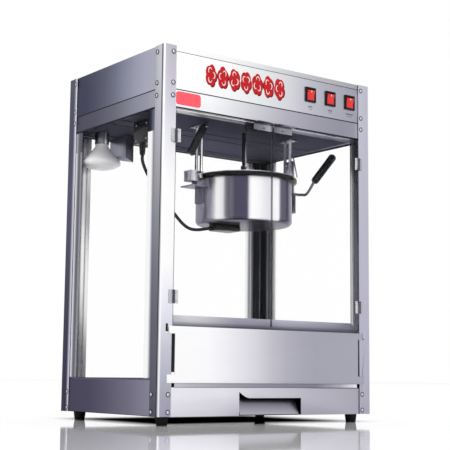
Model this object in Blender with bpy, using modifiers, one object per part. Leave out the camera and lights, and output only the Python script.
"""Counter-top popcorn machine: glazed cabinet, tilting kettle, doors, drawer and switches.

Metres, +Z up, front towards -Y.  The origin is on the table, under the middle of the machine.
"""
import math

import bmesh
import bpy
from mathutils import Matrix, Vector

for old in list(bpy.data.objects):
    bpy.data.objects.remove(old, do_unlink=True)

MM = 0.001

# ---------------------------------------------------------------- driving dimensions
WIDTH = 560 * MM                 # over the corner posts
DEPTH = 385 * MM                 # over the corner posts
BODY_HEIGHT = 740 * MM           # corner posts, without the feet
FOOT_HEIGHT = 18 * MM
GAP = 0.3 * MM                   # clearance between pieces that touch

POST_FLANGE = 31 * MM
POST_SHEET = 1.5 * MM
SHEET = 1.2 * MM                 # panels, cover, drawer

COVER_LIP = 11.5 * MM            # cover's folded front edge
HEADER_HEIGHT = 90 * MM          # top of the posts down to the seam above the rails
RAIL_HEIGHT = 35 * MM
RAIL_FLANGE = 12 * MM
BASE_HEIGHT = 70 * MM
APRON_HEIGHT = 56.6 * MM
DROP_PANEL_HEIGHT = 110.5 * MM
DROP_PANEL_LIFT = 65 * MM        # its lower edge above the underside of the body

STILE_WIDTH = 26 * MM            # part of the window frame that shows beside a post
FRAME_SHEET = 3 * MM
FRAME_EDGE = 3 * MM              # top and bottom bars of a window frame
PANE = 3 * MM
PANE_LAP = 11 * MM               # pane behind the window frame
DOOR_PANE = 4 * MM
DOOR_SPLIT = 2.4 * MM            # gap between the two doors

KETTLE_RADIUS = 106.8 * MM
KETTLE_WALL = 2 * MM
KETTLE_HEIGHT = 102.5 * MM
KETTLE_FILLET = 9 * MM
KETTLE_OFFSET = 22 * MM          # to the right of the middle
RING_WIDTH = 10.6 * MM
RING_HEIGHT = 10 * MM
RIM_DROP = 104 * MM              # ceiling to the top of the rim ring
PIVOT_DROP = 10 * MM             # top of the rim ring to the tilting axis

STEPS = 40                       # facets round a turned piece

# ---------------------------------------------------------------- levels and faces worked out
HALF_W = WIDTH / 2
HALF_D = DEPTH / 2
BASE_Z = FOOT_HEIGHT
TOP_Z = FOOT_HEIGHT + BODY_HEIGHT
SEAM_Z = TOP_Z - HEADER_HEIGHT
RAIL_Z = SEAM_Z - RAIL_HEIGHT
DECK_Z = BASE_Z + BASE_HEIGHT
PANEL_X = HALF_W - POST_SHEET - GAP      # outer face of the side panels, behind the posts
PANEL_Y = HALF_D - POST_SHEET - GAP      # outer face of the front and rear panels
POST_X = HALF_W - POST_FLANGE            # inner edge of a post's front flange
POST_Y = HALF_D - POST_FLANGE
FACE_Y = -HALF_D - GAP                   # back of what is laid on the front of the posts
CEILING_Z = RAIL_Z + SHEET + GAP
CEILING_SHEET = 1.5 * MM
DOOR_LOW = BASE_Z + DROP_PANEL_LIFT + DROP_PANEL_HEIGHT + 6 * MM
DOOR_HIGH = RAIL_Z - 4.5 * MM
DOOR_FRONT = -HALF_D + GAP
DOOR_BACK = DOOR_FRONT + DOOR_PANE

RING_RADIUS = KETTLE_RADIUS + GAP + RING_WIDTH
KETTLE_X = KETTLE_OFFSET
KETTLE_Y = -HALF_D + RING_RADIUS + 10.3 * MM
RIM_Z = CEILING_Z - RIM_DROP
PIVOT_Z = RIM_Z - PIVOT_DROP

# ---------------------------------------------------------------- collections and materials
cart = bpy.data.collections.new("popcorn_machine")
cutters = bpy.data.collections.new("cutters")
bpy.context.scene.collection.children.link(cart)
bpy.context.scene.collection.children.link(cutters)


def material(name, colour, roughness, metallic, alpha=1.0):
    made = bpy.data.materials.new(name)
    made.use_nodes = True
    shader = made.node_tree.nodes["Principled BSDF"]
    shader.inputs["Base Color"].default_value = (*colour, 1.0)
    shader.inputs["Roughness"].default_value = roughness
    shader.inputs["Metallic"].default_value = metallic
    shader.inputs["Alpha"].default_value = alpha
    return made


STEEL = material("brushed_steel", (0.62, 0.61, 0.66), 0.32, 1.0)
BRIGHT = material("bright_steel", (0.80, 0.80, 0.82), 0.18, 1.0)
CHARCOAL = material("charcoal_sheet", (0.09, 0.09, 0.11), 0.45, 0.6)
GLASS = material("clear_glass", (0.90, 0.95, 0.95), 0.03, 0.0, 0.25)
BLACK = material("black_plastic", (0.02, 0.02, 0.03), 0.30, 0.0)
RUBBER = material("black_rubber", (0.02, 0.02, 0.02), 0.70, 0.0)
RED = material("red_rocker", (0.75, 0.03, 0.03), 0.25, 0.0)
WHITE = material("white_lamp_glass", (0.93, 0.93, 0.92), 0.25, 0.0)


# ---------------------------------------------------------------- modelling helpers
def baked(holder):
    """The evaluated mesh of a scratch object, in world space; the scratch object goes."""
    bpy.context.view_layer.update()
    graph = bpy.context.evaluated_depsgraph_get()
    mesh = bpy.data.meshes.new_from_object(holder.evaluated_get(graph))
    mesh.transform(holder.matrix_world)
    bpy.data.objects.remove(holder, do_unlink=True)
    edit = bmesh.new()
    edit.from_mesh(mesh)
    bmesh.ops.remove_doubles(edit, verts=edit.verts, dist=1e-6)
    edit.to_mesh(mesh)
    edit.free()
    return mesh


def box(low, high):
    edit = bmesh.new()
    bmesh.ops.create_cube(edit, size=1.0)
    size = [high[i] - low[i] for i in range(3)]
    middle = [(high[i] + low[i]) / 2 for i in range(3)]
    bmesh.ops.scale(edit, verts=edit.verts, vec=size)
    bmesh.ops.translate(edit, verts=edit.verts, vec=middle)
    mesh = bpy.data.meshes.new("box")
    edit.to_mesh(mesh)
    edit.free()
    return mesh


def cylinder(centre, axis, radius, length, facets=24, end_radius=None):
    """A round bar, or a cone, from centre along axis."""
    tip = radius if end_radius is None else end_radius
    edit = bmesh.new()
    bmesh.ops.create_cone(edit, cap_ends=True, segments=facets, radius1=radius, radius2=tip, depth=length)
    turn = Vector((0, 0, 1)).rotation_difference(Vector(axis).normalized()).to_matrix().to_4x4()
    place = Matrix.Translation(centre) @ turn @ Matrix.Translation((0, 0, length / 2))
    bmesh.ops.transform(edit, verts=edit.verts, matrix=place)
    mesh = bpy.data.meshes.new("cylinder")
    edit.to_mesh(mesh)
    edit.free()
    return mesh


TURN_FOR_AXIS = {
    "Z": Matrix.Identity(4),
    "Y": Matrix(((1, 0, 0, 0), (0, 0, -1, 0), (0, 1, 0, 0), (0, 0, 0, 1))),
    "X": Matrix(((0, 0, 1, 0), (1, 0, 0, 0), (0, 1, 0, 0), (0, 0, 0, 1))),
}
AXIS_INDEX = {"X": 0, "Y": 1, "Z": 2}


def plate(outline, axis, low, high):
    """A flat outline, thickened from low to high along axis.

    Outline points are (x, y) for Z, (x, z) for Y and (y, z) for X.
    """
    curve = bpy.data.curves.new("plate", "CURVE")
    curve.dimensions = "2D"
    curve.fill_mode = "BOTH"
    curve.extrude = (high - low) / 2
    spline = curve.splines.new("POLY")
    spline.points.add(len(outline) - 1)
    for point, (u, v) in zip(spline.points, outline):
        point.co = (u, v, 0, 1)
    spline.use_cyclic_u = True
    holder = bpy.data.objects.new("plate", curve)
    cutters.objects.link(holder)
    shift = [0.0, 0.0, 0.0]
    shift[AXIS_INDEX[axis]] = (low + high) / 2
    holder.matrix_world = Matrix.Translation(shift) @ TURN_FOR_AXIS[axis]
    mesh = baked(holder)
    edit = bmesh.new()
    edit.from_mesh(mesh)
    bmesh.ops.dissolve_limit(edit, angle_limit=math.radians(0.5), verts=edit.verts, edges=edit.edges)
    edit.to_mesh(mesh)
    edit.free()
    return mesh


def turned(profile, centre, axis=(0, 0, 1), steps=STEPS, closed=False):
    """A profile of (radius, height) points turned round an axis through centre."""
    mesh = bpy.data.meshes.new("profile")
    points = [(radius, 0.0, height) for radius, height in profile]
    edges = [(i, i + 1) for i in range(len(points) - 1)]
    if closed:
        edges.append((len(points) - 1, 0))
    mesh.from_pydata(points, edges, [])
    holder = bpy.data.objects.new("turned", mesh)
    cutters.objects.link(holder)
    screw = holder.modifiers.new("turn", "SCREW")
    screw.steps = steps
    screw.render_steps = steps
    screw.use_merge_vertices = True
    screw.merge_threshold = 1e-6
    turn = Vector((0, 0, 1)).rotation_difference(Vector(axis).normalized()).to_matrix().to_4x4()
    holder.matrix_world = Matrix.Translation(centre) @ turn
    return baked(holder)


def rod(points, radius, bevel_resolution=2):
    """A round wire through the points, with closed ends."""
    curve = bpy.data.curves.new("rod", "CURVE")
    curve.dimensions = "3D"
    curve.bevel_depth = radius
    curve.bevel_resolution = bevel_resolution
    curve.use_fill_caps = True
    spline = curve.splines.new("POLY")
    spline.points.add(len(points) - 1)
    for point, place in zip(spline.points, points):
        point.co = (*place, 1)
    holder = bpy.data.objects.new("rod", curve)
    cutters.objects.link(holder)
    return baked(holder)


def smooth_route(points, per_span):
    """Points on one smooth curve through the given points."""
    knots = [Vector(p) for p in points]
    ends = [knots[0] * 2 - knots[1]] + knots + [knots[-1] * 2 - knots[-2]]
    route = []
    for i in range(1, len(ends) - 2):
        a, b, c, d = ends[i - 1:i + 3]
        for step in range(per_span):
            t = step / per_span
            route.append(0.5 * (2 * b + (c - a) * t + (2 * a - 5 * b + 4 * c - d) * t ** 2
                                + (3 * b - a - 3 * c + d) * t ** 3))
    route.append(knots[-1])
    return route


def arc(centre, radius, start, end, count):
    """Points on an arc, from start to end in degrees."""
    angles = [math.radians(start + (end - start) * i / (count - 1)) for i in range(count)]
    return [(centre[0] + radius * math.cos(a), centre[1] + radius * math.sin(a)) for a in angles]


def piece(name, mesh, look, origin=(0, 0, 0)):
    """A named part of the machine, with its origin where it turns or slides."""
    mesh.transform(Matrix.Translation(-Vector(origin)))
    mesh.name = name
    mesh.materials.clear()
    mesh.materials.append(look)
    made = bpy.data.objects.new(name, mesh)
    made.location = origin
    cart.objects.link(made)
    mesh.shade_smooth()
    mesh.set_sharp_from_angle(angle=math.radians(35))
    return made


def tool(mesh):
    made = bpy.data.objects.new("tool", mesh)
    cutters.objects.link(made)
    made.hide_render = True
    made.display_type = "WIRE"
    return made


def boolean(target, mesh_or_tool, operation):
    cutter = mesh_or_tool if isinstance(mesh_or_tool, bpy.types.Object) else tool(mesh_or_tool)
    change = target.modifiers.new(operation.lower(), "BOOLEAN")
    change.operation = operation
    change.object = cutter


def cut(target, *meshes):
    for mesh in meshes:
        boolean(target, mesh, "DIFFERENCE")


def weld(target, *meshes):
    for mesh in meshes:
        boolean(target, mesh, "UNION")


def mirrored(points, side):
    """An outline in (x, ...) for the side: +1 right, -1 left."""
    if side > 0:
        return points
    return [(-u, v) for u, v in reversed(points)]


SIDES = (("left", -1), ("right", 1))

# ---------------------------------------------------------------- corner posts
EAR_REACH_HIGH = 257.5 * MM - 280 * MM    # from the post's outer edge
EAR_REACH_LOW = 261.5 * MM - 280 * MM
EAR_HIGH = 14 * MM
EAR_LOW = 16.5 * MM
SLOT_EXTRA = 7 * MM                       # upper slot seen beyond the ear
SLOT_DEPTH = 3 * MM                       # slot inwards of the ear's hook
DROP_LOW = BASE_Z + DROP_PANEL_LIFT
DROP_HIGH = DROP_LOW + DROP_PANEL_HEIGHT
EARS = (
    # reach from the middle, low edge, high edge, slot beyond the ear
    (HALF_W + EAR_REACH_HIGH, DROP_HIGH - EAR_HIGH, DROP_HIGH, SLOT_EXTRA),
    (HALF_W + EAR_REACH_LOW, DROP_LOW, DROP_LOW + EAR_LOW, -1.0 * MM),
)


def post_outline(side, end):
    """L section, from above: side +1 right, end +1 rear."""
    x0, x1 = HALF_W, HALF_W - POST_SHEET
    y0, y1 = HALF_D, HALF_D - POST_SHEET
    shape = [(x0, y0), (x0, POST_Y), (x1, POST_Y), (x1, y1), (POST_X, y1), (POST_X, y0)]
    return [(side * u, end * v) for u, v in shape]


for side_name, side in SIDES:
    front = piece(f"post_front_{side_name}", plate(post_outline(side, -1), "Z", BASE_Z, TOP_Z), STEEL)
    for reach, low, high, beyond in EARS:
        inner = reach - SHEET - SLOT_DEPTH
        outer = reach + beyond
        slot_x = sorted((side * inner, side * outer))
        cut(front, box((slot_x[0], -HALF_D - MM, low + MM), (slot_x[1], -HALF_D + 3 * MM, high - MM)))
    piece(f"post_rear_{side_name}", plate(post_outline(side, 1), "Z", BASE_Z, TOP_Z), STEEL)

# ---------------------------------------------------------------- top cover, sign panel and rails
SIGN_Y = -PANEL_Y + SHEET                 # inner face of the front panels
COVER_TOP = TOP_Z - 0.5 * MM
OVERRUN = 10 * MM                         # how far a cutter passes the piece it cuts

top_cover = piece("top_cover", box((-PANEL_X, -PANEL_Y, RAIL_Z + GAP), (PANEL_X, PANEL_Y, COVER_TOP)),
                  STEEL)
cut(top_cover,
    box((-PANEL_X + SHEET, -PANEL_Y + SHEET, RAIL_Z - OVERRUN),
        (PANEL_X - SHEET, PANEL_Y - SHEET, COVER_TOP - SHEET)),
    box((-HALF_W, -HALF_D, RAIL_Z - OVERRUN), (HALF_W, PANEL_Y - SHEET, SEAM_Z + GAP)),
    box((-HALF_W, -HALF_D, RAIL_Z - OVERRUN), (HALF_W, SIGN_Y + GAP, TOP_Z - COVER_LIP)))

SWITCH_X = [HALF_W - 173 * MM + i * 58 * MM for i in range(3)]
SWITCH_Z = TOP_Z - 46 * MM
SWITCH_HOLE = (23.4 * MM, 28.6 * MM)
sign_panel = piece("sign_panel",
                   box((-PANEL_X, -PANEL_Y, SEAM_Z + GAP), (PANEL_X, SIGN_Y, TOP_Z - COVER_LIP - GAP)),
                   STEEL)
for x in SWITCH_X:
    half_x, half_z = SWITCH_HOLE[0] / 2, SWITCH_HOLE[1] / 2
    cut(sign_panel, box((x - half_x, -HALF_D, SWITCH_Z - half_z),
                        (x + half_x, -HALF_D + OVERRUN, SWITCH_Z + half_z)))


def angle_outline(face, inward, low, high, flange):
    """Upright face with a flange folded inwards along its lower edge, as (across, z)."""
    inner = face + inward * SHEET
    tip = face + inward * flange
    return [(face, low), (tip, low), (tip, low + SHEET), (inner, low + SHEET), (inner, high), (face, high)]


piece("front_rail",
      plate(angle_outline(-PANEL_Y, 1, RAIL_Z, SEAM_Z, RAIL_FLANGE), "X", -PANEL_X, PANEL_X), STEEL)
for side_name, side in SIDES:
    outline = angle_outline(side * PANEL_X, -side, RAIL_Z, SEAM_Z, RAIL_FLANGE)
    piece(f"side_rail_{side_name}",
          plate(outline, "Y", -PANEL_Y + RAIL_FLANGE + GAP, PANEL_Y - SHEET - GAP), STEEL)

ceiling = piece("ceiling_panel",
                box((-PANEL_X + SHEET + GAP, SIGN_Y + GAP, CEILING_Z),
                    (PANEL_X - SHEET - GAP, PANEL_Y - SHEET - GAP, CEILING_Z + CEILING_SHEET)), CHARCOAL)
SHAFT_RADIUS = 5 * MM
cut(ceiling, cylinder((KETTLE_X, KETTLE_Y, CEILING_Z - OVERRUN), (0, 0, 1), SHAFT_RADIUS + 2 * MM,
                      2 * OVERRUN))

# the ceiling's front edge folds down and forward under the rail, as a stop for the doors
STOP_FRONT = DOOR_BACK + 6 * MM
STOP_DEPTH = 24 * MM
STOP_HALF = PANEL_X - 16 * MM
stop_low = RAIL_Z - 4.5 * MM
stop_step = -PANEL_Y + RAIL_FLANGE + GAP
stop_outline = [(STOP_FRONT, stop_low), (STOP_FRONT + STOP_DEPTH, stop_low),
                (STOP_FRONT + STOP_DEPTH, CEILING_Z + 0.5 * MM), (stop_step, CEILING_Z + 0.5 * MM),
                (stop_step, RAIL_Z - GAP), (STOP_FRONT, RAIL_Z - GAP)]
weld(ceiling, plate(stop_outline, "X", -STOP_HALF, STOP_HALF))

# ---------------------------------------------------------------- windows
FRAME_LOW = DECK_Z + GAP
FRAME_HIGH = RAIL_Z - GAP
SIDE_FRAME_IN = PANEL_X - FRAME_SHEET
SIDE_PANE_OUT = SIDE_FRAME_IN - GAP
SIDE_PANE_IN = SIDE_PANE_OUT - PANE
REAR_FRAME_IN = PANEL_Y - FRAME_SHEET
REAR_PANE_OUT = REAR_FRAME_IN - GAP
REAR_PANE_IN = REAR_PANE_OUT - PANE
APERTURE_Y = POST_Y - STILE_WIDTH
APERTURE_X = POST_X - STILE_WIDTH
SIDE_FRAME_Y = PANEL_Y - FRAME_SHEET + MM - GAP
REAR_FRAME_X = SIDE_FRAME_IN - 2 * GAP


def across(side, near, far):
    """Two x values in order, for a piece between near and far on one side."""
    return sorted((side * near, side * far))


for side_name, side in SIDES:
    low_x, high_x = across(side, SIDE_FRAME_IN, PANEL_X)
    frame = piece(f"window_frame_{side_name}",
                  box((low_x, -SIDE_FRAME_Y, FRAME_LOW), (high_x, SIDE_FRAME_Y, FRAME_HIGH)), STEEL)
    cut(frame, box((low_x - OVERRUN, -APERTURE_Y, FRAME_LOW + FRAME_EDGE),
                   (high_x + OVERRUN, APERTURE_Y, FRAME_HIGH - FRAME_EDGE)))
    low_x, high_x = across(side, SIDE_PANE_IN, SIDE_PANE_OUT)
    piece(f"window_glass_{side_name}",
          box((low_x, -APERTURE_Y - PANE_LAP, FRAME_LOW), (high_x, APERTURE_Y + PANE_LAP, FRAME_HIGH)),
          GLASS)

rear_frame = piece("window_frame_rear",
                   box((-REAR_FRAME_X, REAR_FRAME_IN, FRAME_LOW), (REAR_FRAME_X, PANEL_Y, FRAME_HIGH)),
                   STEEL)
cut(rear_frame, box((-APERTURE_X, REAR_FRAME_IN - OVERRUN, FRAME_LOW + FRAME_EDGE),
                    (APERTURE_X, PANEL_Y + OVERRUN, FRAME_HIGH - FRAME_EDGE)))
piece("window_glass_rear",
      box((-APERTURE_X - PANE_LAP, REAR_PANE_IN, FRAME_LOW),
          (APERTURE_X + PANE_LAP, REAR_PANE_OUT, FRAME_HIGH)),
      GLASS)

# ---------------------------------------------------------------- base: tray, apron, deck and sill
base_tray = piece("base_tray", box((-PANEL_X, SIGN_Y + GAP, BASE_Z + GAP), (PANEL_X, PANEL_Y, DECK_Z)),
                  STEEL)
cut(base_tray, box((-PANEL_X + SHEET, -HALF_D - OVERRUN, BASE_Z + GAP + SHEET),
                   (PANEL_X - SHEET, PANEL_Y - SHEET, DECK_Z + OVERRUN)))

DRAWER_HALF = 78 * MM
MOUTH_HALF = DRAWER_HALF + 4 * MM
MOUTH_HEIGHT = 35.3 * MM          # under the apron's flap
MOUTH_NOTCH = 48 * MM             # height at the notched corner
NOTCH_LENGTH = 26 * MM
APRON_TOP = BASE_Z + APRON_HEIGHT
mouth_top = BASE_Z + MOUTH_HEIGHT
notch_top = BASE_Z + MOUTH_NOTCH
notch_curve = []
for step in range(7):
    t = step / 6
    notch_curve.append((-MOUTH_HALF + NOTCH_LENGTH * (1 - t),
                        mouth_top + (notch_top - mouth_top) * t ** 1.6))
apron_outline = [(-PANEL_X, BASE_Z), (-MOUTH_HALF, BASE_Z)]
apron_outline += list(reversed(notch_curve))
apron_outline += [(MOUTH_HALF, mouth_top), (MOUTH_HALF, BASE_Z), (PANEL_X, BASE_Z)]
apron_outline += [(PANEL_X, APRON_TOP), (-PANEL_X, APRON_TOP)]
piece("front_apron", plate(apron_outline, "Y", -PANEL_Y, SIGN_Y), STEEL)

DECK_FRONT = -HALF_D + 6.5 * MM
DECK_LIP = 12.5 * MM
DECK_WALL_HALF = POST_X - 11 * MM
SILL_HALF = POST_X - MM
SILL_DEPTH = 19 * MM
SILL_RISE = 18.5 * MM
sill_low = DOOR_LOW - 1.2 * MM
sill_back = DECK_FRONT + SILL_DEPTH
deck = piece("popcorn_deck",
             box((-PANEL_X + SHEET + GAP, DECK_FRONT + 0.5 * MM, DECK_Z - SHEET),
                 (PANEL_X - SHEET - GAP, PANEL_Y - SHEET - GAP, DECK_Z)), STEEL)
# front wall, turned back at its top as a sloping sill
wall_outline = [(DECK_FRONT, DECK_Z - DECK_LIP), (DECK_FRONT + SHEET, DECK_Z - DECK_LIP),
                (DECK_FRONT + SHEET, sill_low - 0.6 * MM), (sill_back, sill_low + SILL_RISE - 1.6 * MM),
                (sill_back, sill_low + SILL_RISE), (DECK_FRONT, sill_low)]
deck_front = tool(plate(wall_outline, "X", -SILL_HALF, SILL_HALF))
for side in (1, -1):
    low_x, high_x = sorted((side * DECK_WALL_HALF, side * HALF_W))
    cut(deck_front, box((low_x, -HALF_D, BASE_Z), (high_x, sill_back, sill_low - 6 * MM)))
weld(deck, deck_front)
SIFT_SLOTS = 5
SIFT_PITCH = 28 * MM
SIFT_WIDTH = 6 * MM
SIFT_LENGTH = 130 * MM
for index in range(SIFT_SLOTS):
    y = (index - (SIFT_SLOTS - 1) / 2) * SIFT_PITCH
    cut(deck, box((-SIFT_LENGTH / 2, y - SIFT_WIDTH / 2, DECK_Z - OVERRUN),
                  (SIFT_LENGTH / 2, y + SIFT_WIDTH / 2, DECK_Z + OVERRUN)))

# ---------------------------------------------------------------- lift-out front panel with hooked ears
DROP_HALF = POST_X - 6 * MM
HOOK_DEPTH = 6 * MM
face_front = FACE_Y - SHEET
EAR_SLANT = 0.4 * MM
drop_outline = []
for side in (1, -1):
    (upper_reach, upper_low, upper_high, _), (lower_reach, lower_low, lower_high, _) = EARS
    edge = [(lower_reach, lower_low), (lower_reach, lower_high), (DROP_HALF, lower_high - EAR_SLANT),
            (DROP_HALF, upper_low + EAR_SLANT), (upper_reach, upper_low), (upper_reach, upper_high)]
    drop_outline += edge if side > 0 else mirrored(edge, side)
drop_panel = piece("drop_panel", plate(drop_outline, "Y", face_front, FACE_Y), STEEL,
                   origin=(0, FACE_Y, (DROP_LOW + DROP_HIGH) / 2))
for side in (1, -1):
    for reach, low, high, beyond in EARS:
        inset = 1.6 * MM if beyond < 0 else 0.3 * MM
        low_x, high_x = across(side, reach - SHEET - inset, reach - inset)
        weld(drop_panel, box((low_x, face_front + 0.2 * MM, low + 1.6 * MM),
                             (high_x, FACE_Y + HOOK_DEPTH, high - 1.6 * MM)))

# ---------------------------------------------------------------- drawer for unpopped kernels
DRAWER_LENGTH = 262 * MM
DRAWER_SLOPE = 12.5 * MM
DRAWER_WALL = SHEET
drawer_low = BASE_Z + GAP + SHEET + 0.5 * MM
drawer_high = mouth_top - 0.8 * MM
drawer_front = -HALF_D + 4 * MM
drawer_back = drawer_front + DRAWER_SLOPE + DRAWER_LENGTH
drawer_outline = [(drawer_front, drawer_low), (drawer_back, drawer_low), (drawer_back, drawer_high),
                  (drawer_front + DRAWER_SLOPE, drawer_high)]
drawer = piece("kernel_drawer", plate(drawer_outline, "X", -DRAWER_HALF, DRAWER_HALF), STEEL,
               origin=(0, drawer_front, drawer_low))
slope_run = DRAWER_SLOPE / (drawer_high - drawer_low)
inner_floor = drawer_low + DRAWER_WALL
inner_front = drawer_front + slope_run * DRAWER_WALL + 1.6 * MM
hollow_outline = [(inner_front, inner_floor), (drawer_back - DRAWER_WALL, inner_floor),
                  (drawer_back - DRAWER_WALL, drawer_high + OVERRUN),
                  (inner_front + slope_run * (drawer_high + OVERRUN - inner_floor), drawer_high + OVERRUN)]
cut(drawer, plate(hollow_outline, "X", -DRAWER_HALF + DRAWER_WALL, DRAWER_HALF - DRAWER_WALL))

# ---------------------------------------------------------------- feet
FOOT_RADIUS_TOP = 13 * MM
FOOT_RADIUS_BASE = 11 * MM
FOOT_INSET_X = 30 * MM
FOOT_INSET_Y = 30.5 * MM
foot_profile = [(0, FOOT_HEIGHT), (FOOT_RADIUS_TOP, FOOT_HEIGHT), (FOOT_RADIUS_TOP, FOOT_HEIGHT - 3 * MM),
                (FOOT_RADIUS_BASE, MM), (FOOT_RADIUS_BASE - MM, 0), (0, 0)]
for side_name, side in SIDES:
    for end_name, end in (("front", -1), ("rear", 1)):
        place = (side * (HALF_W - FOOT_INSET_X), end * (HALF_D - FOOT_INSET_Y), 0)
        piece(f"foot_{end_name}_{side_name}", turned(foot_profile, place, steps=24), RUBBER)

# ---------------------------------------------------------------- glass doors, hinges and catch plates
KNUCKLE_RADIUS = 2.2 * MM
PIN_RADIUS = 1.0 * MM
HINGE_TALL = 27 * MM
LEAF_WIDTH = 10.6 * MM
LEAF_SHEET = SHEET
HINGE_Y = FACE_Y - 2.0 * MM
HINGE_X = POST_X - 0.7 * MM
HINGE_LOW_Z = DOOR_LOW + 51.5 * MM
HINGE_HIGH_Z = DOOR_HIGH - 55 * MM
KNUCKLES = 5
CATCH_WIDTH = 50 * MM
CATCH_TALL = 14 * MM
CATCH_REACH = 17 * MM
CATCH_DROP = 1.5 * MM

for side_name, side in SIDES:
    axis_x = side * HINGE_X
    pivot = (axis_x, HINGE_Y, (DOOR_LOW + DOOR_HIGH) / 2)
    glass_x = across(side, DOOR_SPLIT / 2, POST_X - 1.5 * MM)
    piece(f"door_glass_{side_name}",
          box((glass_x[0], DOOR_FRONT, DOOR_LOW), (glass_x[1], DOOR_BACK, DOOR_HIGH)), GLASS, origin=pivot)
    for level, z in (("lower", HINGE_LOW_Z), ("upper", HINGE_HIGH_Z)):
        low_z = z - HINGE_TALL / 2
        pitch = HINGE_TALL / KNUCKLES
        # frame leaf: outer, middle and upper knuckles, with the pin
        leaf_x = across(side, HINGE_X + 0.2 * MM, HINGE_X + LEAF_WIDTH)
        leaf = piece(f"hinge_frame_{level}_{side_name}",
                     box((leaf_x[0], FACE_Y - LEAF_SHEET, low_z), (leaf_x[1], FACE_Y, low_z + HINGE_TALL)),
                     BRIGHT,
                     origin=(axis_x, HINGE_Y, z))
        for index in range(1, KNUCKLES, 2):
            cut(leaf, cylinder((axis_x, HINGE_Y, low_z + index * pitch), (0, 0, 1), KNUCKLE_RADIUS + GAP,
                               pitch, 16))
        for index in range(0, KNUCKLES, 2):
            weld(leaf, cylinder((axis_x, HINGE_Y, low_z + index * pitch), (0, 0, 1), KNUCKLE_RADIUS, pitch,
                                16))
        weld(leaf, cylinder((axis_x, HINGE_Y, low_z), (0, 0, 1), PIN_RADIUS, HINGE_TALL, 12))
        # door leaf: the two knuckles between them
        near = HINGE_X - 0.3 * MM
        leaf_x = across(side, near - LEAF_WIDTH, near)
        wing = piece(f"hinge_door_{level}_{side_name}",
                     box((leaf_x[0], FACE_Y - LEAF_SHEET, low_z), (leaf_x[1], FACE_Y, low_z + HINGE_TALL)),
                     BRIGHT,
                     origin=(axis_x, HINGE_Y, z))
        for index in range(0, KNUCKLES, 2):
            cut(wing, cylinder((axis_x, HINGE_Y, low_z + index * pitch - GAP), (0, 0, 1),
                               KNUCKLE_RADIUS + GAP, pitch + 2 * GAP, 16))
        for index in range(1, KNUCKLES, 2):
            weld(wing, cylinder((axis_x, HINGE_Y, low_z + index * pitch + GAP), (0, 0, 1),
                                KNUCKLE_RADIUS, pitch - 2 * GAP, 16))
        cut(wing, cylinder((axis_x, HINGE_Y, low_z - MM), (0, 0, 1), PIN_RADIUS + GAP, HINGE_TALL + 2 * MM,
                           12))
    plate_x = across(side, DOOR_SPLIT / 2 + 1.2 * MM, DOOR_SPLIT / 2 + 1.2 * MM + CATCH_WIDTH)
    plate_high = DOOR_HIGH - CATCH_DROP
    catch = piece(f"catch_plate_{side_name}",
                  box((plate_x[0], FACE_Y - SHEET, plate_high - CATCH_TALL),
                      (plate_x[1], FACE_Y, plate_high)),
                  BRIGHT, origin=pivot)
    pull_outline = [(FACE_Y - 0.2 * MM, plate_high - SHEET), (FACE_Y - 0.2 * MM, plate_high - 0.05 * MM),
                    (FACE_Y - CATCH_REACH, plate_high + 2.4 * MM),
                    (FACE_Y - CATCH_REACH, plate_high + 1.2 * MM),
                    (FACE_Y - SHEET, plate_high - SHEET)]
    weld(catch, plate(pull_outline, "X", plate_x[0] + 0.2 * MM, plate_x[1] - 0.2 * MM))
    hole_x = side * (DOOR_SPLIT / 2 + 24 * MM)
    cut(catch, cylinder((hole_x, FACE_Y - OVERRUN, plate_high - 8 * MM), (0, 1, 0), 1.6 * MM, 2 * OVERRUN,
                        12))

# ---------------------------------------------------------------- switches
BEZEL = (29 * MM, 33 * MM)
BEZEL_PROUD = 2.6 * MM
WINDOW = (20.4 * MM, 25.6 * MM)
SWITCH_BACK = -HALF_D + 25 * MM
SWITCH_BAR = 2 * MM
ROCKER = (19.6 * MM, 23.2 * MM)
ROCKER_PIVOT_Y = -PANEL_Y + 5 * MM
ROCKER_TILT = math.radians(8)
front_y = -PANEL_Y - GAP - BEZEL_PROUD
bar_low = (SWITCH_X[0] - BEZEL[0] / 2, SWITCH_BACK, SWITCH_Z - 9 * MM)
bar_high = (SWITCH_X[-1] + BEZEL[0] / 2, SWITCH_BACK + SWITCH_BAR, SWITCH_Z + 9 * MM)
switch_bank = piece("switch_bank", box(bar_low, bar_high), BLACK)
for x in SWITCH_X:
    body_half = (SWITCH_HOLE[0] / 2 - GAP, SWITCH_HOLE[1] / 2 - GAP)
    weld(switch_bank,
         box((x - body_half[0], front_y + MM, SWITCH_Z - body_half[1]),
             (x + body_half[0], SWITCH_BACK + MM, SWITCH_Z + body_half[1])),
         box((x - BEZEL[0] / 2, front_y, SWITCH_Z - BEZEL[1] / 2),
             (x + BEZEL[0] / 2, -PANEL_Y - GAP, SWITCH_Z + BEZEL[1] / 2)))
    cut(switch_bank, box((x - WINDOW[0] / 2, front_y - OVERRUN, SWITCH_Z - WINDOW[1] / 2),
                         (x + WINDOW[0] / 2, SWITCH_BACK - 6 * MM, SWITCH_Z + WINDOW[1] / 2)))
for index, x in enumerate(SWITCH_X, start=1):
    pivot = Vector((x, ROCKER_PIVOT_Y, SWITCH_Z))
    face = front_y - ROCKER_PIVOT_Y - 0.8 * MM
    half = ROCKER[1] / 2
    outline = [(2 * MM, -half * 0.55), (2 * MM, half * 0.55), (face + 3.4 * MM, half),
               (face, half - 0.6 * MM),
               (face + 1.6 * MM, 0), (face, -half + 0.6 * MM), (face + 3.4 * MM, -half)]
    mesh = plate(outline, "X", -ROCKER[0] / 2, ROCKER[0] / 2)
    mesh.transform(Matrix.Translation(pivot) @ Matrix.Rotation(ROCKER_TILT, 4, "X"))
    piece(f"rocker_{index}", mesh, RED, origin=pivot)

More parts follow.
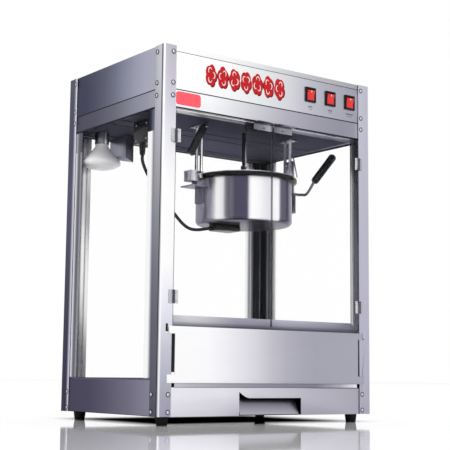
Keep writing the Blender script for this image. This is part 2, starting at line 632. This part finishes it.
# ---------------------------------------------------------------- kettle
wall_top = RIM_Z - 1.5 * MM
kettle_floor = wall_top - KETTLE_HEIGHT
inner_radius = KETTLE_RADIUS - KETTLE_WALL
inner_fillet = KETTLE_FILLET - KETTLE_WALL
outer_corner = arc((KETTLE_RADIUS - KETTLE_FILLET, kettle_floor + KETTLE_FILLET), KETTLE_FILLET, 0, -90, 6)
inner_corner = arc((inner_radius - inner_fillet, kettle_floor + KETTLE_FILLET), inner_fillet, -90, 0, 6)
kettle_profile = [(inner_radius, wall_top), (KETTLE_RADIUS, wall_top)] + outer_corner
kettle_profile += [(0, kettle_floor), (0, kettle_floor + KETTLE_WALL)] + inner_corner
kettle_profile.append(kettle_profile[0])
kettle_centre = (KETTLE_X, KETTLE_Y, 0)
kettle_pivot = (KETTLE_X, KETTLE_Y, PIVOT_Z)
kettle_body = piece("kettle_body", turned(kettle_profile, kettle_centre), BRIGHT, origin=kettle_pivot)

# left bracket on the wall: ear on the pivot pin, shelf under the hanger block, strap down the wall
HANGER_REACH = RING_RADIUS + 5.8 * MM      # kettle axis to the hanger rods
BLOCK_NEAR = RING_RADIUS + 16.3 * MM       # kettle axis to the hanger block
BLOCK_WIDE = 19 * MM
BLOCK_HALF_DEPTH = 13.5 * MM
BLOCK_HALF_TALL = 10 * MM
PIVOT_RADIUS = 4 * MM
EAR_SHEET = 3 * MM
SHELF_DROP = 17.3 * MM                     # pivot to the top of the shelf
SHELF_SHEET = 2.5 * MM
STRAP_DROP = 52 * MM
STRAP_OFFSET = 18 * MM                     # strap's middle behind the pivot
ear_left = KETTLE_X - BLOCK_NEAR + GAP
shelf_top = PIVOT_Z - SHELF_DROP
bracket = tool(box((ear_left, KETTLE_Y - 9 * MM, shelf_top - MM),
                   (ear_left + EAR_SHEET, KETTLE_Y + 9 * MM, PIVOT_Z)))
weld(bracket,
     cylinder((ear_left, KETTLE_Y, PIVOT_Z), (1, 0, 0), 9 * MM, EAR_SHEET, 24),
     box((ear_left - 14 * MM, KETTLE_Y - 10 * MM, shelf_top - SHELF_SHEET),
         (KETTLE_X - KETTLE_RADIUS + 14 * MM, KETTLE_Y + STRAP_OFFSET + 15 * MM, shelf_top)),
     box((KETTLE_X - KETTLE_RADIUS - 3 * MM, KETTLE_Y + STRAP_OFFSET - 16 * MM, PIVOT_Z - STRAP_DROP),
         (KETTLE_X - KETTLE_RADIUS + 14 * MM, KETTLE_Y + STRAP_OFFSET + 15 * MM, shelf_top - MM)))
cut(bracket,
    cylinder((ear_left - OVERRUN, KETTLE_Y, PIVOT_Z), (1, 0, 0), PIVOT_RADIUS + GAP, 2 * OVERRUN),
    cylinder((KETTLE_X, KETTLE_Y, PIVOT_Z - 2 * STRAP_DROP), (0, 0, 1), KETTLE_RADIUS - 0.7 * MM,
             3 * STRAP_DROP, STEPS))
weld(kettle_body, bracket)

ring_bottom = RIM_Z - RING_HEIGHT
ring_in = KETTLE_RADIUS + GAP
ring_round = 3.2 * MM
ring_profile = [(ring_in, RIM_Z), (RING_RADIUS - ring_round, RIM_Z)]
ring_profile += arc((RING_RADIUS - ring_round, RIM_Z - ring_round), ring_round, 70, 0, 4)
ring_profile += arc((RING_RADIUS - ring_round, ring_bottom + ring_round), ring_round, 0, -70, 4)
ring_profile += [(RING_RADIUS - ring_round, ring_bottom), (ring_in, ring_bottom), (ring_in, RIM_Z)]
piece("kettle_rim", turned(ring_profile, kettle_centre), BLACK, origin=kettle_pivot)

# ----------------------------------------------- kettle lid: fixed rear half with the bridge, flap in front
LID_RADIUS = RING_RADIUS - 5.7 * MM
LID_SHEET = 1.6 * MM
BRIDGE_HALF = 11.5 * MM
HINGE_GAP = 1.2 * MM
LID_LOW = RIM_Z + GAP
LID_KNUCKLE = 2.6 * MM
LID_PIN = 1.2 * MM
LID_BEARING = 8 * MM
lid_axis_y = KETTLE_Y - BRIDGE_HALF - HINGE_GAP / 2
lid_axis_z = LID_LOW + LID_SHEET + LID_KNUCKLE - 0.6 * MM
chord_angle = math.degrees(math.asin(BRIDGE_HALF / LID_RADIUS))
rear_outline = arc((KETTLE_X, KETTLE_Y), LID_RADIUS, -chord_angle, 180 + chord_angle, 28)
lid_bridge = piece("kettle_lid_bridge", plate(rear_outline, "Z", LID_LOW, LID_LOW + LID_SHEET), BRIGHT,
                   origin=kettle_pivot)
flap_angle = math.degrees(math.asin((BRIDGE_HALF + HINGE_GAP) / LID_RADIUS))
flap_outline = arc((KETTLE_X, KETTLE_Y), LID_RADIUS, 180 + flap_angle, 360 - flap_angle, 26)
flap = piece("kettle_lid_flap", plate(flap_outline, "Z", LID_LOW, LID_LOW + LID_SHEET), BRIGHT,
             origin=(KETTLE_X, lid_axis_y, lid_axis_z))
KNUCKLE_SPANS = ((42, 56), (57, 73), (74, 88))
for side in (-1, 1):
    start = min(side * KNUCKLE_SPANS[0][0], side * KNUCKLE_SPANS[2][1]) * MM
    for order, span in enumerate(KNUCKLE_SPANS):
        low_x = KETTLE_X + min(side * span[0], side * span[1]) * MM
        length = (span[1] - span[0]) * MM
        owner = flap if order == 1 else lid_bridge
        sign = -1 if order == 1 else 1
        foot_y = sorted((lid_axis_y, lid_axis_y + sign * 4 * MM))
        weld(owner, box((low_x, foot_y[0], LID_LOW + 0.2 * MM), (low_x + length, foot_y[1], lid_axis_z)))
        weld(owner, cylinder((low_x, lid_axis_y, lid_axis_z), (1, 0, 0), LID_KNUCKLE, length, 14))
        other = lid_bridge if order == 1 else flap
        cut(other, box((low_x - GAP, lid_axis_y - LID_KNUCKLE - GAP, LID_LOW - MM),
                       (low_x + length + GAP, lid_axis_y + LID_KNUCKLE + GAP, lid_axis_z + 5 * MM)))
    pin_length = (KNUCKLE_SPANS[2][1] - KNUCKLE_SPANS[0][0]) * MM
    cut(flap, cylinder((KETTLE_X + start - MM, lid_axis_y, lid_axis_z), (1, 0, 0), LID_PIN + GAP,
                       pin_length + 2 * MM, 12))
    weld(lid_bridge, cylinder((KETTLE_X + start, lid_axis_y, lid_axis_z), (1, 0, 0), LID_PIN, pin_length,
                              12))
STIR_RADIUS = 4 * MM
weld(lid_bridge, cylinder((KETTLE_X, KETTLE_Y, LID_LOW + 0.2 * MM), (0, 0, 1), LID_BEARING, 5.4 * MM))
cut(lid_bridge, cylinder((KETTLE_X, KETTLE_Y, LID_LOW - OVERRUN), (0, 0, 1), STIR_RADIUS + GAP,
                         3 * OVERRUN))

# ---------------------------------------------------- stirrer in the kettle, and its drive from the ceiling
SOCKET_RADIUS = 7.5 * MM
SOCKET_TALL = 8 * MM
SOCKET_RISE = 21.5 * MM                    # socket over the lid: the dog has to clear the lid at full tip
SLOT_FLOOR = 3.5 * MM
TONGUE = (3 * MM, 8 * MM)
BLADE_LENGTH = 156 * MM
BLADE_WIDE = 13 * MM
BLADE_SHEET = 3 * MM
socket_low = LID_LOW + SOCKET_RISE
blade_low = kettle_floor + KETTLE_WALL + 2 * MM
stirrer = piece("stirrer",
                cylinder((KETTLE_X, KETTLE_Y, blade_low), (0, 0, 1), STIR_RADIUS,
                         socket_low - blade_low + MM, 20),
                BRIGHT, origin=(KETTLE_X, KETTLE_Y, blade_low))
weld(stirrer, cylinder((KETTLE_X, KETTLE_Y, socket_low), (0, 0, 1), SOCKET_RADIUS, SOCKET_TALL))
weld(stirrer, cylinder((KETTLE_X, KETTLE_Y, blade_low - 0.4 * MM), (0, 0, 1), 10 * MM, 9 * MM))
for sign in (1, -1):
    tip = sign * BLADE_LENGTH / 2
    low_x, high_x = sorted((0, tip))
    blade = box((KETTLE_X + low_x, KETTLE_Y - BLADE_WIDE / 2, blade_low),
                (KETTLE_X + high_x, KETTLE_Y + BLADE_WIDE / 2,
                                                                         blade_low + BLADE_SHEET))
    low_x, high_x = sorted((tip - sign * BLADE_SHEET, tip))
    fin = box((KETTLE_X + low_x, KETTLE_Y - BLADE_WIDE / 2 + 0.2 * MM, blade_low + 0.2 * MM),
              (KETTLE_X + high_x, KETTLE_Y + BLADE_WIDE / 2 - 0.2 * MM, blade_low + 14 * MM))
    weld(stirrer, blade, fin)
cut(stirrer, box((KETTLE_X - TONGUE[0] / 2 - 0.6 * MM, KETTLE_Y - 2 * SOCKET_RADIUS,
                  socket_low + SLOT_FLOOR),
                 (KETTLE_X + TONGUE[0] / 2 + 0.6 * MM, KETTLE_Y + 2 * SOCKET_RADIUS,
                  socket_low + SOCKET_TALL + OVERRUN)))

SHAFT_CLEAR = 2 * MM                       # over the socket, for the kettle to tip
TONGUE_CLEAR = 1.7 * MM                    # over the slot's floor, likewise
socket_top = socket_low + SOCKET_TALL
shaft_low = socket_top + SHAFT_CLEAR
MOTOR_SEAT = 14 * MM
shaft_top = CEILING_Z + CEILING_SHEET + MOTOR_SEAT
drive_shaft = piece("drive_shaft",
                    cylinder((KETTLE_X, KETTLE_Y, shaft_low), (0, 0, 1), SHAFT_RADIUS,
                             shaft_top - shaft_low),
                    BRIGHT, origin=(KETTLE_X, KETTLE_Y, shaft_low))
tongue_low = socket_low + SLOT_FLOOR + TONGUE_CLEAR
weld(drive_shaft, box((KETTLE_X - TONGUE[0] / 2, KETTLE_Y - TONGUE[1] / 2, tongue_low),
                      (KETTLE_X + TONGUE[0] / 2, KETTLE_Y + TONGUE[1] / 2, shaft_low + 4 * MM)))

MOTOR_HALF = 34 * MM
MOTOR_TALL = 62 * MM
motor_low = CEILING_Z + CEILING_SHEET + GAP
motor = piece("stir_motor", box((KETTLE_X - MOTOR_HALF, KETTLE_Y - MOTOR_HALF, motor_low),
                                (KETTLE_X + MOTOR_HALF, KETTLE_Y + MOTOR_HALF,
                                 motor_low + MOTOR_TALL * 0.45)), STEEL)
weld(motor, cylinder((KETTLE_X + 6 * MM, KETTLE_Y, motor_low + MOTOR_TALL * 0.4), (0, 0, 1), 25 * MM,
                     MOTOR_TALL * 0.6))
cut(motor, cylinder((KETTLE_X, KETTLE_Y, motor_low - OVERRUN), (0, 0, 1), SHAFT_RADIUS + GAP,
                    OVERRUN + MOTOR_SEAT + MM))

# ---------------------------------------------------------------- hangers
ROD_RADIUS = 3.5 * MM
ROD_SPREAD = 9 * MM
HANGER_TOP = CEILING_Z - GAP
FOOT_PLATE = 2.5 * MM
STRAP_SHEET = 3 * MM


def hanger_rods(x, low):
    return [cylinder((x, KETTLE_Y + sign * ROD_SPREAD, low), (0, 0, 1), ROD_RADIUS, HANGER_TOP - MM - low,
                     16)
            for sign in (-1, 1)]


left_rod_x = KETTLE_X - HANGER_REACH
block_right = KETTLE_X - BLOCK_NEAR
block_left = block_right - BLOCK_WIDE
strap_low = PIVOT_Z + BLOCK_HALF_TALL
hanger_left = piece("hanger_left", box((left_rod_x - 12 * MM, KETTLE_Y - 20 * MM, HANGER_TOP - FOOT_PLATE),
                                       (left_rod_x + 12 * MM, KETTLE_Y + 20 * MM, HANGER_TOP)), STEEL)
weld(hanger_left, *hanger_rods(left_rod_x, strap_low + MM))
weld(hanger_left,
     box((block_left, KETTLE_Y - BLOCK_HALF_DEPTH, strap_low),
         (left_rod_x + ROD_RADIUS, KETTLE_Y + BLOCK_HALF_DEPTH,
                                                               strap_low + STRAP_SHEET)),
     box((block_left + 0.2 * MM, KETTLE_Y - BLOCK_HALF_DEPTH + 0.2 * MM, PIVOT_Z - BLOCK_HALF_TALL),
         (block_right, KETTLE_Y + BLOCK_HALF_DEPTH - 0.2 * MM, strap_low + MM)),
     cylinder((block_left + 4 * MM, KETTLE_Y, PIVOT_Z), (1, 0, 0), PIVOT_RADIUS, BLOCK_WIDE + 4 * MM))

right_rod_x = KETTLE_X + RING_RADIUS + 7.8 * MM
PLATE_FRONT = 22 * MM                      # hanger plate in front of the pivot
PLATE_REAR = 13 * MM
PLATE_RISE = 64 * MM
PLATE_SHEET = 3 * MM
plate_low = PIVOT_Z - 10.5 * MM
hanger_right = piece("hanger_right",
                     box((right_rod_x - 12 * MM, KETTLE_Y - 20 * MM, HANGER_TOP - FOOT_PLATE),
                                         (right_rod_x + 12 * MM, KETTLE_Y + 20 * MM, HANGER_TOP)), STEEL)
weld(hanger_right, *hanger_rods(right_rod_x, PIVOT_Z + 40 * MM))
weld(hanger_right,
     box((right_rod_x - PLATE_SHEET / 2, KETTLE_Y - PLATE_FRONT, plate_low),
         (right_rod_x + PLATE_SHEET / 2, KETTLE_Y + PLATE_REAR, PIVOT_Z + PLATE_RISE)))
pin_start = KETTLE_X + RING_RADIUS + GAP
weld(hanger_right, cylinder((pin_start, KETTLE_Y, PIVOT_Z), (1, 0, 0), PIVOT_RADIUS,
                            right_rod_x + 3 * MM - pin_start))
STAY_RADIUS = 1.4 * MM
weld(hanger_right, rod([(right_rod_x, KETTLE_Y - 10 * MM, PIVOT_Z + 80 * MM),
                        (right_rod_x, KETTLE_Y - 21 * MM, PIVOT_Z + 70 * MM),
                        (right_rod_x, KETTLE_Y - 34 * MM, PIVOT_Z + 24 * MM)], STAY_RADIUS))

# ---------------------------------------------------------------- dump handle on the kettle's right side
HANDLE_PLATE = 3 * MM
HANDLE_ROD = 3.2 * MM
HANDLE_FRONT = 34 * MM
HANDLE_REAR = 30 * MM
handle_in = KETTLE_X + RING_RADIUS + 0.6 * MM
handle_out = handle_in + HANDLE_PLATE
handle = piece("dump_handle",
               box((handle_in, KETTLE_Y - HANDLE_FRONT, PIVOT_Z - 58 * MM),
                   (handle_out, KETTLE_Y + HANDLE_REAR, PIVOT_Z - 12 * MM)), STEEL, origin=kettle_pivot)
weld(handle,
     box((handle_in, KETTLE_Y - 16 * MM, PIVOT_Z - 13 * MM),
         (handle_out - 0.1 * MM, KETTLE_Y + 16 * MM, PIVOT_Z + 9 * MM)),
     box((KETTLE_X + KETTLE_RADIUS - 12 * MM, KETTLE_Y - 20 * MM, PIVOT_Z - 46 * MM),
         (handle_in + MM, KETTLE_Y + 20 * MM, PIVOT_Z - 14 * MM)))
cut(handle,
    cylinder((handle_in - OVERRUN, KETTLE_Y, PIVOT_Z), (1, 0, 0), PIVOT_RADIUS + GAP, 2 * OVERRUN),
    cylinder((KETTLE_X, KETTLE_Y, PIVOT_Z - 2 * STRAP_DROP), (0, 0, 1), KETTLE_RADIUS + GAP, 3 * STRAP_DROP,
             STEPS))
HANDLE_Y = KETTLE_Y - 32 * MM
GRIP_END_X = HALF_W - 19.5 * MM
grip_start_x = handle_out + (GRIP_END_X - handle_out) * 0.49
bend_x = handle_out + (GRIP_END_X - handle_out) * 0.30
GRIP_START_Z = PIVOT_Z + 21 * MM
GRIP_END_Z = PIVOT_Z + 88.5 * MM
handle_route = smooth_route([
    (handle_out - 2 * MM, HANDLE_Y, PIVOT_Z - 15 * MM),
    ((handle_out + bend_x) / 2, HANDLE_Y, PIVOT_Z - 14 * MM),
    (bend_x, HANDLE_Y, PIVOT_Z - 9.5 * MM),
    (grip_start_x, HANDLE_Y, GRIP_START_Z),
    (grip_start_x + (GRIP_END_X - grip_start_x) * 0.3, HANDLE_Y,
     GRIP_START_Z + (GRIP_END_Z - GRIP_START_Z) * 0.3),
], 5)
weld(handle, rod(handle_route, HANDLE_ROD))
GRIP_RADIUS = 9.2 * MM
GRIP_BORE = HANDLE_ROD + GAP
grip_axis = Vector((GRIP_END_X - grip_start_x, 0, GRIP_END_Z - GRIP_START_Z))
grip_length = grip_axis.length
dome = 7 * MM
grip_profile = [(0, grip_length)]
grip_profile += [(GRIP_RADIUS * math.sin(math.radians(a)),
                  grip_length - dome * (1 - math.cos(math.radians(a))))
                 for a in (25, 50, 70, 90)]
grip_profile += [(GRIP_RADIUS * 0.94, 3 * MM), (GRIP_RADIUS * 0.8, 0), (GRIP_BORE + 0.4 * MM, 0),
                 (GRIP_BORE + 0.4 * MM, grip_length * 0.36), (0, grip_length * 0.36)]
piece("dump_grip", turned(grip_profile, (grip_start_x, HANDLE_Y, GRIP_START_Z), grip_axis, 28), BLACK,
      origin=kettle_pivot)

# ---------------------------------------------------------------- release lever under the ceiling
LEVER_X = KETTLE_X - 141 * MM
LEVER_Y = -HALF_D + 82.5 * MM
LEVER_Z = CEILING_Z - 6 * MM
LEVER_LENGTH = 78 * MM
LEVER_ANGLE = math.radians(28)
lever_axis = Vector((-math.sin(LEVER_ANGLE), 0, -math.cos(LEVER_ANGLE)))
lever_turn = Matrix.Translation((LEVER_X, LEVER_Y, LEVER_Z)) @ Matrix.Rotation(LEVER_ANGLE, 4, "Y")
lever_mesh = box((-7 * MM, -4.5 * MM, -LEVER_LENGTH), (7 * MM, 4.5 * MM, -7 * MM))
lever_mesh.transform(lever_turn)
lever = piece("release_lever", lever_mesh, BLACK, origin=(LEVER_X, LEVER_Y, LEVER_Z))
arm = box((-3 * MM, -1.5 * MM, -14 * MM), (3 * MM, 1.5 * MM, 0))
arm.transform(lever_turn)
weld(lever, arm, cylinder((LEVER_X, LEVER_Y - 8 * MM, LEVER_Z), (0, 1, 0), 3 * MM, 16 * MM, 16))

# ---------------------------------------------------------------- lamp, warm air duct and connector
LAMP_X = -(HALF_W - 53.5 * MM)
LAMP_Y = HALF_D - 56.5 * MM
HOLDER_RADIUS = 16 * MM
HOLDER_TALL = 25.5 * MM
BULB_RADIUS = 43 * MM
holder_low = CEILING_Z - GAP - HOLDER_TALL
piece("lamp_holder", cylinder((LAMP_X, LAMP_Y, holder_low), (0, 0, 1), HOLDER_RADIUS, HOLDER_TALL, 28),
      WHITE)
bulb_top = holder_low - GAP
bulb_profile = [(0, bulb_top), (14 * MM, bulb_top), (15.5 * MM, bulb_top - 6 * MM),
                (21 * MM, bulb_top - 14 * MM),
                (30 * MM, bulb_top - 24 * MM), (38 * MM, bulb_top - 33 * MM),
                (42.2 * MM, bulb_top - 39 * MM),
                (BULB_RADIUS, bulb_top - 43 * MM), (41.5 * MM, bulb_top - 46.5 * MM),
                (34 * MM, bulb_top - 51.5 * MM),
                (22 * MM, bulb_top - 55.5 * MM), (10 * MM, bulb_top - 57.4 * MM), (0, bulb_top - 58 * MM)]
piece("lamp_bulb", turned(bulb_profile, (LAMP_X, LAMP_Y, 0), steps=32), WHITE)

DUCT_SHEET = 1 * MM
duct_left = LAMP_X + BULB_RADIUS + 5.5 * MM
DUCT_WIDE = 18 * MM
DUCT_DEEP = 73 * MM
duct_rear = REAR_PANE_IN - 2.4 * MM
duct_front = duct_rear - DUCT_DEEP
DUCT_DROP = 62 * MM
duct = piece("warm_air_duct", box((duct_left, duct_front, HANGER_TOP - DUCT_DROP),
                                  (duct_left + DUCT_WIDE, duct_rear, HANGER_TOP)), STEEL)
cut(duct, box((duct_left + DUCT_SHEET, duct_front + DUCT_SHEET, HANGER_TOP - 2 * DUCT_DROP),
              (duct_left + DUCT_WIDE - DUCT_SHEET, duct_rear - DUCT_SHEET, HANGER_TOP + OVERRUN)))
# the open end is cut aslant: shorter at the left and at the rear
slant = box((-0.2, -0.2, -0.1), (0.2, 0.2, 0))
slant.transform(Matrix.Translation((duct_left + DUCT_WIDE, duct_front, HANGER_TOP - DUCT_DROP))
                @ Matrix.Rotation(math.radians(26), 4, "Y") @ Matrix.Rotation(math.radians(11), 4, "X"))
cut(duct, slant)

CONNECTOR_LEFT = HALF_W - 48.5 * MM
CONNECTOR = (20 * MM, 57 * MM, 49 * MM)
CONNECTOR_Y = KETTLE_Y + 1.5 * MM
RELIEF_Y = KETTLE_Y + 38.5 * MM
RELIEF_X = -CONNECTOR_LEFT + CONNECTOR[0] / 2
connector_low = HANGER_TOP - CONNECTOR[2]
connector = piece("connector_box", box((-CONNECTOR_LEFT, CONNECTOR_Y, connector_low),
                                       (-CONNECTOR_LEFT + CONNECTOR[0], CONNECTOR_Y + CONNECTOR[1],
                                        HANGER_TOP)), BLACK)
RELIEF_LENGTH = 24 * MM
weld(connector, cylinder((RELIEF_X, RELIEF_Y, connector_low + MM), (0, 0, -1), 7.5 * MM, RELIEF_LENGTH + MM,
                         20, 5 * MM))

# ----------------------------------------------------------- terminal housing under the kettle and its lead
HOUSING = (58 * MM, 44 * MM, 13.5 * MM)
HOUSING_X = KETTLE_X - 38 * MM
HOUSING_Y = KETTLE_Y + 19.5 * MM
housing_top = kettle_floor - GAP
housing = piece("terminal_housing",
                box((HOUSING_X - HOUSING[0] / 2, HOUSING_Y - HOUSING[1] / 2, housing_top - HOUSING[2]),
                    (HOUSING_X + HOUSING[0] / 2, HOUSING_Y + HOUSING[1] / 2,
                     housing_top)), BLACK, origin=kettle_pivot)
edge_round = housing.modifiers.new("edges", "BEVEL")
edge_round.width = 3 * MM
edge_round.segments = 2

LEAD_RADIUS = 3.5 * MM
# share of the way across, sideways shift, and share of the way down
LEAD_SHAPE = [
    (0.000, 0.0 * MM, 0.000), (0.006, 0.0 * MM, 0.094), (0.060, 1.5 * MM, 0.223),
    (0.156, 3.5 * MM, 0.377), (0.275, 5.0 * MM, 0.535), (0.400, 6.0 * MM, 0.689),
    (0.520, 6.0 * MM, 0.839), (0.633, 5.0 * MM, 0.965), (0.730, 3.0 * MM, 1.028),
    (0.826, -0.5 * MM, 1.038), (0.917, -4.5 * MM, 1.021), (1.000, -7.5 * MM, 1.000),
]
lead_start = Vector((RELIEF_X, RELIEF_Y, connector_low - RELIEF_LENGTH - GAP))
lead_end = Vector((HOUSING_X - HOUSING[0] / 2 - 4 * GAP, RELIEF_Y, housing_top - 0.56 * HOUSING[2]))
lead_points = []
for along, aside, down in LEAD_SHAPE:
    lead_points.append((lead_start.x + (lead_end.x - lead_start.x) * along, RELIEF_Y + aside,
                        lead_start.z + (lead_end.z - lead_start.z) * down))
piece("kettle_lead", rod(smooth_route(lead_points, 3), LEAD_RADIUS), RUBBER)

# -------------------------------------------------- cable gland for the mains lead, at the rear of the base
GLAND_X = HALF_W - 120 * MM
GLAND_Z = BASE_Z + 34 * MM
GLAND_STUB = 6 * MM
gland_reach = CATCH_REACH + GAP - 0.3 * MM + HALF_D + GAP
stub_start = PANEL_Y - SHEET - 8 * MM
flange_at = PANEL_Y + GAP - stub_start
gland_end = gland_reach - stub_start
gland_profile = [(0, gland_end), (4.5 * MM, gland_end), (6 * MM, gland_end - 2 * MM),
                 (8 * MM, flange_at + 7 * MM),
                 (11 * MM, flange_at + 6 * MM), (11 * MM, flange_at), (GLAND_STUB, flange_at),
                 (GLAND_STUB, 0), (0, 0)]
piece("mains_gland", turned(gland_profile, (GLAND_X, stub_start, GLAND_Z), (0, 1, 0), 24), BLACK)
cut(base_tray, cylinder((GLAND_X, PANEL_Y - OVERRUN, GLAND_Z), (0, 1, 0), GLAND_STUB + GAP, 2 * OVERRUN))
